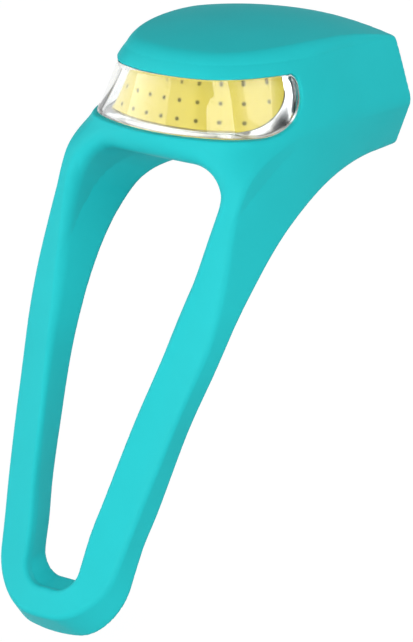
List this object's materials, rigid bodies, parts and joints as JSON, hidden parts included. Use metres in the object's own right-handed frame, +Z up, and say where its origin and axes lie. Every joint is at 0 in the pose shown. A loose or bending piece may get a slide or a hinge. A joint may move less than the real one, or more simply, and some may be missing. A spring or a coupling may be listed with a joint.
{
  "type": "bicycle headlight",
  "caption": "Small rechargeable bicycle headlight: rounded silicone head with a wrap-round front lens over a yellow strip of light, and a long looped strap that wraps under the handlebar.",
  "frame": {"origin": "centre line of the flat underside, where the head sits on the handlebar", "axes": "the light faces -Y, +Z is up, +X is to the right seen from behind; X = 0 is the plane of symmetry"},
  "size_m": [0.0436, 0.077, 0.0948],
  "materials": {
    "turquoise_silicone": "matte moulded silicone",
    "black_silicone": "matte",
    "black_polycarbonate": "fine moulded",
    "clear_polycarbonate": "polished",
    "chromed_plastic": "mirror",
    "yellow_phosphor": "satin silicone",
    "led_die": "glossy",
    "white_laminate": "solder mask",
    "aluminium_sheet": "bare sheet",
    "grey_heat_pad": "matte",
    "cell_foil": "satin foil",
    "black_foam": "open foam",
    "green_laminate": "solder mask",
    "red_wire": "gloss insulation",
    "steel": "plated",
    "black_plastic": "matte",
    "grey_plastic": "matte",
    "black_nylon": "fine grain"
  },
  "bodies": {
    "head": {"head_skin": "turquoise_silicone", "strap_bend_upper": "turquoise_silicone", "capsule_base": "black_polycarbonate", "capsule_cover": "black_polycarbonate", "lens": "clear_polycarbonate", "lens_gasket": "black_silicone", "reflector_bezel": "chromed_plastic", "phosphor_strip": "yellow_phosphor", "led_dies": "led_die", "cob_flex_board": "white_laminate", "cob_carrier": "aluminium_sheet", "heat_pad": "grey_heat_pad", "li_po_cell": "cell_foil", "cell_foam": "black_foam", "cell_protection_board": "green_laminate", "battery_leads": "red_wire", "main_board": "green_laminate", "board_screws": "steel", "tact_switch_body": "black_plastic", "driver_chips": "black_plastic", "power_inductor": "black_plastic", "status_led": "led_die", "charge_port_shell": "steel", "charge_port_tongue": "black_plastic", "strip_leads": "red_wire", "rear_hook": "black_nylon", "hook_screws": "steel"},
    "strap_1": {"strap_upper": "turquoise_silicone", "strap_bend_middle": "turquoise_silicone"},
    "strap_2": {"strap_middle": "turquoise_silicone", "strap_bend_lower": "turquoise_silicone"},
    "strap_3": {"strap_end_loop": "turquoise_silicone"},
    "button": {"power_button": "grey_plastic"},
    "plunger": {"tact_switch_plunger": "black_plastic"},
    "plug": {"port_plug": "turquoise_silicone"}
  },
  "joints": [
    {"name": "strap_bend_1", "type": "hinge", "parent": "head", "child": "strap_1", "pos_m": [0, -0.0438, -0.02867], "axis": [1, 0, 0], "range_deg": [-15, 50], "stiffness_Nm_per_rad": 0.02, "deforming": ["strap_bend_upper"]},
    {"name": "strap_bend_2", "type": "hinge", "parent": "strap_1", "child": "strap_2", "pos_m": [0, -0.04951, -0.04308], "axis": [1, 0, 0], "range_deg": [-15, 50], "stiffness_Nm_per_rad": 0.02, "deforming": ["strap_bend_middle"]},
    {"name": "strap_bend_3", "type": "hinge", "parent": "strap_2", "child": "strap_3", "pos_m": [0, -0.05522, -0.05749], "axis": [1, 0, 0], "range_deg": [-15, 50], "stiffness_Nm_per_rad": 0.02, "deforming": ["strap_bend_lower"]},
    {"name": "button_press", "type": "slide", "parent": "head", "child": "button", "axis": [0, 0, -1], "range_m": [0, 0.00045], "stiffness_N_per_m": 1500},
    {"name": "plunger_press", "type": "slide", "parent": "head", "child": "plunger", "axis": [0, 0, -1], "range_m": [0, 0.00045]},
    {"name": "plug_flap", "type": "hinge", "parent": "head", "child": "plug", "pos_m": [0, 0.0067, 0.0175], "axis": [1, 0, 0], "range_deg": [0, 120], "stiffness_Nm_per_rad": 0.002}
  ],
  "couplings": [
    {"joint": "strap_bend_2", "follows": "strap_bend_1", "ratio": 1},
    {"joint": "strap_bend_3", "follows": "strap_bend_1", "ratio": 1},
    {"joint": "plunger_press", "follows": "button_press", "ratio": 1}
  ]
}
